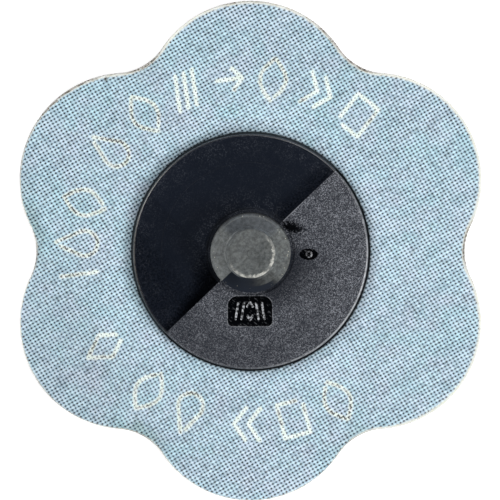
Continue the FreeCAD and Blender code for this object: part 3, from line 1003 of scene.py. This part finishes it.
def build_film():
    """Adhesive squeezed out unevenly round the hub."""
    theta = circle_angles(FILM_COUNT)
    round_x, round_y = 14 * np.cos(theta), 14 * np.sin(theta)
    radius = (FILM_RADIUS + 0.16 * (value_noise(round_x, round_y, 1.1, 91) - 0.5)
              + 0.10 * (value_noise(round_x, round_y, 0.35, 92) - 0.5))
    rings = []
    for offset, height, wavy in FILM_SECTION:
        x, y = (radius + offset) * np.cos(theta), (radius + offset) * np.sin(theta)
        # the fourth ring is the outermost; only the wavy rings rise and fall
        ripple = wavy * 0.012 * (value_noise(x, y, 0.4, 93) - 0.5)
        rings.append(np.stack([x, y, Z_BACK + height + ripple], 1))
    last = (len(FILM_SECTION) - 1) * FILM_COUNT
    faces = []
    for low in range(0, last, FILM_COUNT):
        high = low + FILM_COUNT
        for k in range(FILM_COUNT):
            after = (k + 1) % FILM_COUNT
            faces.append((low + k, low + after, high + after, high + k))
    faces.append(tuple(reversed(range(FILM_COUNT))))
    faces.append(tuple(last + k for k in range(FILM_COUNT)))
    film = mesh_object("hub_glue_film", np.concatenate(rings), faces)
    film.data.shade_smooth()
    mat, graph = new_material("hot_melt_film")
    place = graph.position()
    mottle = graph.noise(place, scale=2.2, detail=3.0).ramp(over=(0.3, 0.7))
    sheen = graph.noise(place, scale=5.0)
    graph.surface({
        "Base Color": graph.mix(mottle, srgb(52, 46, 38), srgb(30, 28, 26)),
        "Roughness": sheen.ramp(over=(0.3, 0.7), to=(0.25, 0.5)),
        "Normal": graph.bump(graph.noise(place, scale=6.0), strength=0.3, distance=0.00003),
    })
    install(film, mat, "bond_film", "hub_bond_film")


build_film()

# ------------------------------------------------------------------ finish of the moulded hub
# The hub keeps its CAD shape. Seen from +Z, the mould line divides its flange into a rough half
# towards -Y and a polished half towards +Y.
hub_mat, hub = new_material("moulded_nylon_two_finishes")
place = hub.position()
x, y, z = hub.split(place)
radius = length(x, y)

ROUGH_DARK = srgb(34, 40, 52) * 0.42
ROUGH_LIGHT = ROUGH_DARK + 5.0 * srgb(64, 65, 68)
PIT_BLACK = srgb(3, 4, 6)              # the dark patch beside the stud and the sunk floors
POLISHED = srgb(5, 12, 24)
DUST = srgb(120, 122, 126)             # specks of dust, and streaks on the sunk floors
HAZE = srgb(112, 116, 124)
SEAM_LIGHT = srgb(150, 152, 158)
# painted light for the stud's foot
PAINTED_FOOT_LIGHT = srgb(84, 90, 100)
WALL_DARK, WALL_LIGHT = srgb(9, 10, 12), srgb(16, 17, 20)
# painted highlight colours for the rim's top edge
RIM_HIGHLIGHT_POLISHED, RIM_HIGHLIGHT_ROUGH = srgb(104, 100, 94), srgb(164, 166, 170)
STUD_DARK, STUD_LIGHT = srgb(73, 77, 79), srgb(87, 89, 87)
# the second of these colours is painted shadow on the stud's lower turn
STUD_COOL, STUD_SHADOW = srgb(74, 80, 86), srgb(20, 27, 38)
THREAD_LINE_LEFT, THREAD_LINE_TOP = srgb(128, 132, 132), srgb(112, 114, 112)
# the nose colour on the next line is a painted highlight
THREAD_NICK, NOSE_HIGHLIGHT = srgb(206, 202, 186), srgb(208, 207, 199)
# the lip colour below is a painted highlight; the raised colour is pale and also paints the oval's
# highlight
LIP_HIGHLIGHT, RAISED_PALE_AND_HIGHLIGHT = srgb(150, 152, 156), srgb(180, 182, 186)


def hub_noise(scale, detail=2.0, rough=0.5):
    return hub.noise(place, scale, detail, rough)


def towards(degrees):
    """Distance from the axis along a direction in plan."""
    turn = math.radians(degrees)
    return x * math.cos(turn) + y * math.sin(turn)


def facing(degrees):
    """Cosine of the angle between a point's direction from the axis and the given one."""
    return towards(degrees) / radius.at_least(1.0)


mould_turn = math.radians(MOULD_LINE)
side = x * -math.sin(mould_turn) + y * math.cos(mould_turn)
along = towards(MOULD_LINE)
rough_half = side.fade(over=(-0.03, 0.03))

# rough half: spark-eroded texture, grains of about a tenth of a millimetre; in the colour its
# bright cells are partly painted glints
cell = hub.split(hub.cells(place, scale=10.0, output="Color"))
small_cell = hub.split(hub.cells(place, scale=19.0, output="Color"))
grit = hub_noise(scale=13.0, detail=3.0, rough=0.7)
slow = hub_noise(scale=0.55, detail=3.0, rough=0.6)
spark_grain_and_glint = (cell[0] * 0.55 + small_cell[1] * 0.45).ramp(over=(0.15, 0.95))
# painted shadow of the stud, darkest beside it towards -34 degrees, and painted shade round its
# foot; the half is also darker at the line's -X end
stud_shadow_side = facing(-34).ramp(over=(0.72, 0.88))
open_side = radius.ramp(over=(5.0, 5.6), to=(0.72, 0.90))
stud_shadow_falloff = radius.ramp(over=(5.0, 9.0), to=(0.14, 0.82))
near_stud = blend(open_side, stud_shadow_falloff, stud_shadow_side)
rim_lift = radius.ramp(over=(10.50, 10.66)) * along.ramp(over=(-2.0, 3.5), to=(0.0, 0.10))
outer = along.ramp(over=(-12.5, 4.5), to=(0.52, 0.86)) * (1.0 + rim_lift)
level = blend(near_stud, outer, radius.ramp(over=(7.5, 11.0)))
level *= slow.ramp(over=(0.3, 0.7), to=(0.80, 1.18))
tone = level * (0.25 + spark_grain_and_glint ** 2.6 * 4.6)
# a dark oval patch beside the stud, turned a little off X, with a crumbled edge
PATCH_X, PATCH_Y, PATCH_LONG, PATCH_SHORT = 4.92, 2.92, 1.42, 0.62
PATCH_COS, PATCH_SIN = 0.95, 0.31
from_x = x - PATCH_X
from_y = y - PATCH_Y
patch_long = (from_x * PATCH_COS + from_y * -PATCH_SIN) / PATCH_LONG
patch_short = (from_x * PATCH_SIN + from_y * PATCH_COS) / PATCH_SHORT
crumb = (grit - 0.5) * 2.6 + (hub_noise(scale=3.2) - 0.5) * 1.8
outside_dark_patch = (length(patch_long, patch_short) + crumb).ramp(over=(0.62, 1.15))
tone *= 0.01 + outside_dark_patch * 0.99
rough_colour = hub.mix(tone * 0.20, ROUGH_DARK, ROUGH_LIGHT)
rough_colour = hub.mix((1.0 - outside_dark_patch) * 0.95, rough_colour, PIT_BLACK)
# light catches the sharp edge where the two halves of the mould met
seam_span = along.ramp(over=(5.2, 5.6)) * along.fade(over=(7.2, 9.6))
seam = abs(side + 0.03).fade(over=(0.03, 0.09)) * seam_span
rough_colour = hub.mix(seam * 0.55, rough_colour, SEAM_LIGHT)

# polished half: near black with a few specks of dust
speck = hub.cells(place, scale=1.9, output="Distance").fade(over=(0.035, 0.075))
speck *= hub_noise(scale=0.35).ramp(over=(0.50, 0.62))
polished = hub.mix(speck * 0.35, POLISHED, DUST)
# fine dust, more of it near the rim and the stud
haze = (cell[2].ramp(over=(0.55, 1.0)) ** 2.0
        * abs(radius - 9.5).ramp(over=(1.2, 4.6), to=(0.05, 0.20)))
haze *= slow.ramp(over=(0.35, 0.62), to=(0.25, 1.35))
polished = hub.mix(haze, polished, HAZE)
# the polished half is darkest along the mould line, most of all between the stud and its -X end
dark_band_width = (along.ramp(over=(-12.5, -8.0), to=(1.2, 2.3))
               + along.ramp(over=(-8.6, -5.9), to=(0.0, 2.3)))
low_left = (side / dark_band_width).ramp(over=(0.10, 1.05), to=(0.12, 1.0))
low_left *= along.ramp(over=(-9.5, -6.5), to=(0.72, 0.92))
low_left += along.ramp(over=(-13.0, -9.0), to=(0.18, 0.0)) * side.fade(over=(0.1, 1.6))
up_right = side.ramp(over=(0.0, 2.8), to=(0.52, 1.0))
deep = low_left.at_least(along.ramp(over=(-5.2, -3.6), to=(0.0, 1.05))).at_most(
    up_right.at_least(along.ramp(over=(2.0, 4.2), to=(1.05, 0.0))))
mottle = hub_noise(scale=4.2, detail=4.0, rough=0.7).ramp(over=(0.34, 0.66), to=(0.35, 1.45))
deep *= blend(1.0, mottle, deep.ramp(over=(0.55, 1.0), to=(0.9, 0.05)))
# the corner round the stud's -X +Y side is shaded too
corner_dark = (radius.fade(over=(5.0, 5.75))
               * ((y * 0.50 - x * 0.87) / radius.at_least(1.0)).ramp(over=(0.80, 0.96)))
deep *= 1.0 - corner_dark * 0.60
polished = polished.scaled(deep)
# painted light round the stud's foot, lifting the shade at the edge of its relief groove
polished = hub.mix(radius.fade(over=(5.26, 5.42)) * 0.07, polished, PAINTED_FOOT_LIGHT)
flange = hub.mix(rough_half, polished, rough_colour)

# drafted side wall, left dark by the shade of the rim
wall = radius.ramp(over=(14.02, 14.10))
flange = hub.mix(wall, flange, hub.mix(hub_noise(scale=2.0, detail=3.0), WALL_DARK, WALL_LIGHT))
# painted highlight on the top edge of the rim, strongest towards -26 degrees, a little on the far
# side
rim_highlight = (facing(-26).ramp(over=(0.35, 0.97), to=(0.05, 1.0))
        + facing(165).ramp(over=(0.70, 0.96), to=(0.0, 0.62)))
rim_highlight *= hub_noise(scale=1.6, detail=3.0, rough=0.6).ramp(over=(0.35, 0.65), to=(0.25, 0.75))
top_edge = radius.ramp(over=(13.80, 13.90)) * radius.fade(over=(14.02, 14.08))
flange = hub.mix(top_edge * rim_highlight, flange, hub.mix(rough_half, RIM_HIGHLIGHT_POLISHED, RIM_HIGHLIGHT_ROUGH))

# the stud: frosted, with painted shade darkening it towards its foot and on its +Y side, and
# painted light making the thread's +X and -X sides paler
on_stud = radius.ramp(over=(5.05, 4.95)) * z.ramp(over=(0.10, 0.35))
stud_tone = (z.ramp(over=(0.6, 5.2), to=(0.16, 1.0))
             * hub_noise(scale=2.6, detail=4.0, rough=0.65).ramp(over=(0.3, 0.7), to=(0.60, 1.36)))
face_x = x / radius.at_least(0.8)
face_y = y / radius.at_least(0.8)
flank = z.ramp(over=(6.25, 6.05))
right_turn = flank * face_x.ramp(over=(0.66, 0.78))
left_turn = flank * face_x.ramp(over=(-0.62, -0.80))
top_turn = flank * face_y.ramp(over=(0.60, 0.78))
crest = radius.ramp(over=(3.48, 3.60), to=(0.72, 1.0))
stud_tone *= 0.97 + (right_turn * crest * 0.52 + (left_turn * 0.36 - top_turn * 0.20))
stud_tone *= 1.0 - radius.ramp(over=(4.50, 4.72)) * (face_y.ramp(over=(0.10, 0.55)) * 0.72)
# painted shadow below the upper end of the thread, on the flank of the turn beneath it
lower = radius.ramp(over=(3.98, 4.20))
lower_turn_shadow = ((along / radius.at_least(0.5)).fade(over=(-0.88 + lower * 0.60, -0.22 + lower * 0.30))
         * (rough_half * z.fade(over=(5.70, 6.00))))
normal_z = hub.split(hub.node("NewGeometry", "Normal"))[2]
lower_turn_shadow *= normal_z.ramp(over=(0.05, 0.45), to=(0.20, 1.0))
stud_tone *= 1.0 - lower_turn_shadow * 0.88
stud = hub.mix(hub_noise(scale=1.2), STUD_DARK, STUD_LIGHT)
stud = hub.mix(top_turn * 0.8, stud, STUD_COOL).scaled(stud_tone)
stud = hub.mix(lower_turn_shadow * 0.9, stud, STUD_SHADOW)
# edges of the thread: a thin pale line on the -X side, one on the +Y side, and bright nicks
left_line = abs(radius - 3.02).fade(over=(0.03, 0.09)) * (
    face_x.ramp(over=(-0.25, -0.60))
    * hub_noise(scale=1.4, detail=3.0).ramp(over=(0.35, 0.60), to=(0.15, 0.60)))
stud = hub.mix(left_line, stud, THREAD_LINE_LEFT)
top_line = abs(radius - 4.36).fade(over=(0.03, 0.10)) * face_y.ramp(over=(0.45, 0.80))
stud = hub.mix(top_line * 0.30, stud, THREAD_LINE_TOP)
nick = hub.cells(place, scale=3.3, output="Distance").fade(over=(0.11, 0.20))
nick *= abs(radius - 4.38).fade(over=(0.14, 0.22)) * z.ramp(over=(6.0, 5.8))
nick *= hub_noise(scale=0.9).ramp(over=(0.42, 0.54), to=(0.0, 0.85))
stud = hub.mix(nick, stud, THREAD_NICK)
# painted highlight on the rounded rim of the nose, on its +X -Y side, broken up raggedly
ragged = (hub_noise(scale=3.4, detail=3.0, rough=0.6) - 0.5) * 0.60
nose_highlight = (radius + ragged).ramp(over=(2.46, 2.66)) * z.ramp(over=(6.20, 6.45))
nose_highlight *= hub_noise(scale=1.5, detail=3.0, rough=0.6).ramp(over=(0.36, 0.64), to=(0.06, 0.66))
nose_highlight *= (x * 0.62 + y * -0.78).ramp(over=(-1.4, 1.6))
stud = hub.mix(nose_highlight, stud, NOSE_HIGHLIGHT)
body = hub.mix(on_stud, flange, stud)

# the sunk panel (rounded rectangle) and the small oval: polished floors, pale raised parts with a
# painted highlight on the oval's +X -Y side, and a painted highlight along the panel's lip
PANEL_X, PANEL_Y, PANEL_HALF_X, PANEL_HALF_Y = -0.07, -7.10, 2.65, 1.80
OVAL_X, OVAL_Y, OVAL_HALF_X, OVAL_HALF_Y = 6.93, -0.30, 1.12, 0.70
corner = y.ramp(over=(-7.25, -6.95), to=(0.55, 1.15))
past_x = (abs(x - PANEL_X) - (PANEL_HALF_X - corner)).at_least(0.0)
past_y = (abs(y - PANEL_Y) - (PANEL_HALF_Y - corner)).at_least(0.0)
panel_distance = length(past_x, past_y) - corner
in_panel = panel_distance.fade(over=(-0.01, 0.03))
oval_x = (x - OVAL_X) / OVAL_HALF_X
oval_y = (y - OVAL_Y) / OVAL_HALF_Y
in_oval = (oval_x * oval_x + oval_y * oval_y).fade(over=(0.98, 1.04))
sunk = in_panel.at_least(in_oval) * z.fade(over=(-0.055, -0.040))
raised = sunk * z.ramp(over=(-0.105, -0.085))
raised *= hub_noise(scale=3.6, detail=3.0, rough=0.6).ramp(over=(0.40, 0.64), to=(0.03, 0.95))
oval_highlight_side = (oval_x * 0.8 - oval_y * 0.5).ramp(over=(-0.45, 0.40), to=(0.12, 0.75))
raised *= blend(1.0, oval_highlight_side, in_oval)
# painted highlight along the panel's lip, broken up by noise
lip_break = hub_noise(scale=1.9, detail=3.0, rough=0.6).ramp(over=(0.42, 0.60), to=(0.02, 0.40))
lip = abs(panel_distance - 0.05).fade(over=(0.025, 0.085)) * lip_break
body = hub.mix(lip, body, LIP_HIGHLIGHT)
body = hub.mix(sunk, body, PIT_BLACK)
streak_place = hub.turned(place, angle=0.9, scale=(0.16, 0.6, 1.0))
streak = hub.noise(streak_place, scale=1.0).ramp(over=(0.60, 0.72)) * 0.30
body = hub.mix(sunk * streak, body, DUST)
body = hub.mix(raised, body, RAISED_PALE_AND_HIGHLIGHT)

# roughness: higher on the rough half, the stud and its root; lower on sunk floors and the rim
roughness = rough_half * 0.30 + 0.30
roughness += (grit - 0.5) * 0.16
roughness = roughness.at_least(on_stud * 0.46)
root = radius.fade(over=(5.26, 5.42)) * z.fade(over=(0.05, 0.30))
roughness = roughness.at_least(root * 0.75)
roughness *= 1.0 - sunk * 0.70
rim_band = radius.ramp(over=(13.78, 13.86)) * z.ramp(over=(-0.26, -0.20))
roughness -= (roughness - 0.24) * (rim_band * (1.0 - wall))
roughness += wall * 0.10

# specular: stronger on the polished half and the rim, held back wherever the colour is dark
specular = (0.31 - rough_half * 0.18) + rim_band * facing(-128).ramp(over=(0.70, 0.96),
                                                                     to=(0.55, 0.28))
specular *= 1.0 - root * 0.30
specular *= 1.0 - sunk * 0.62
kept = rough_half.at_least(on_stud).at_least(radius.ramp(over=(13.70, 13.84)))
specular *= kept + (1.0 - kept) * deep
specular *= 1.0 - (1.0 - outside_dark_patch) * rough_half * 0.85
specular *= 1.0 - wall * 0.86

# relief of the rough half, held back on the sunk floors, the stud and the rim
relief_amount = rough_half * (1.0 - sunk)
relief_amount *= 1.0 - on_stud * 0.85
relief_amount *= 1.0 - rim_band * 0.8
relief = ((spark_grain_and_glint * 0.6 + grit * 0.9) * relief_amount
          + hub_noise(scale=5.0, detail=3.0) * 0.12)
hub.surface({
    "Base Color": body,
    "Roughness": roughness,
    "Specular IOR Level": specular,
    "Normal": hub.bump(relief, strength=0.9, distance=0.00002),
})
assign(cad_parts["threaded_hub"], hub_mat)


# ------------------------------------------------------------------ floor, light and camera
def build_floor():
    grid = bmesh.new()
    bmesh.ops.create_grid(grid, x_segments=8, y_segments=8, size=1.2)
    mesh = bpy.data.meshes.new("floor")
    grid.to_mesh(mesh)
    grid.free()
    floor = bpy.data.objects.new("floor", mesh)
    floor.location = (0, 0, Z_FACE * MM - 0.00003)
    bpy.context.scene.collection.objects.link(floor)
    mat, graph = new_material("paper_floor")
    metres = graph.node("TexCoord", "Object")
    mottle = graph.noise(metres, scale=900.0, detail=3.0).ramp(over=(0.3, 0.7))
    across, up, _ = graph.split(metres)
    graph.surface({
        "Base Color": graph.mix(mottle, (0.93, 0.93, 0.93), (0.95, 0.95, 0.95)),
        "Roughness": 0.9,
        "Specular IOR Level": 0.1,
        "Emission Color": (1, 1, 1, 1),
        "Emission Strength": length(across, up).ramp(over=(0.12, 0.60), to=(0.44, 0.66)),
    })
    assign(floor, mat)


def build_world():
    """White to the camera; for lighting, a pale horizon with a dark patch overhead."""
    ambient = 0.50
    white, overhead = (1.0, 1.0, 1.0), (0.16, 0.17, 0.19)
    world = bpy.data.worlds.new("studio")
    bpy.context.scene.world = world
    world.use_nodes = True
    graph = Graph(world.node_tree)
    up = graph.split(graph.node("TexCoord", "Generated"))[2]
    seen = graph.node("LightPath", "Is Camera Ray")
    sky = graph.mix(up.ramp(over=(0.55, 0.95)), white, overhead)
    background = graph.node("Background", 0, {
        "Color": graph.mix(seen, sky, white),
        "Strength": ambient + seen * (1.0 - ambient),
    })
    graph.node("OutputWorld", inputs={0: background})


# Name, direction and elevation in degrees, distance and size in metres, power in watts, colour
LIGHTS = [
    ("key", -22, 42, 0.50, 0.26, 1.60, (1, 1, 1)),
    ("fill", 155, 44, 0.55, 0.26, 0.95, (0.97, 0.985, 1.0)),
    ("back", 60, 58, 0.55, 0.25, 0.70, (1, 1, 1)),
    ("side", -110, 50, 0.55, 0.25, 0.60, (1, 1, 1)),
]


def build_light(name, direction, elevation, distance, size, power, colour):
    """A disc light aimed at the origin."""
    data = bpy.data.lights.new(name, "AREA")
    data.shape = "DISK"
    data.size = size
    data.energy = power
    data.color = colour
    light = bpy.data.objects.new(name, data)
    turn, lift = math.radians(direction), math.radians(elevation)
    outwards = Vector((math.cos(turn) * math.cos(lift), math.sin(turn) * math.cos(lift),
                       math.sin(lift)))
    light.location = outwards * distance
    light.rotation_mode = "QUATERNION"
    light.rotation_quaternion = outwards.to_track_quat("Z", "Y")
    bpy.context.scene.collection.objects.link(light)


CAMERA_HEIGHT = 0.42               # metres above Z = 0
CAMERA_SHIFT = 0.014               # metres towards +Y from the point it looks at
SENSOR = 36.0
VIEW_WIDTH = 59.88024              # width seen at the cloth's upper face
AIM_X, AIM_Y = -0.0722022, 0.1684717


def build_camera():
    """Looks down at a point close to the middle of the cloth, tilted a little."""
    above = CAMERA_HEIGHT - Z_BACK * MM
    data = bpy.data.cameras.new("camera")
    data.sensor_width = SENSOR
    data.lens = SENSOR / (VIEW_WIDTH * MM) * above
    data.clip_start = 0.02
    data.clip_end = 5.0
    camera = bpy.data.objects.new("camera", data)
    bpy.context.scene.collection.objects.link(camera)
    aim = Vector((AIM_X * MM, AIM_Y * MM, Z_BACK * MM))
    camera.location = aim + Vector((0.0, CAMERA_SHIFT, above))
    camera.rotation_euler = (-math.atan2(CAMERA_SHIFT, above), 0.0, 0.0)
    bpy.context.scene.camera = camera
    bpy.context.scene.view_settings.view_transform = "Standard"
    bpy.context.scene.view_settings.look = "None"


build_floor()
build_world()
for light_values in LIGHTS:
    build_light(*light_values)
build_camera()
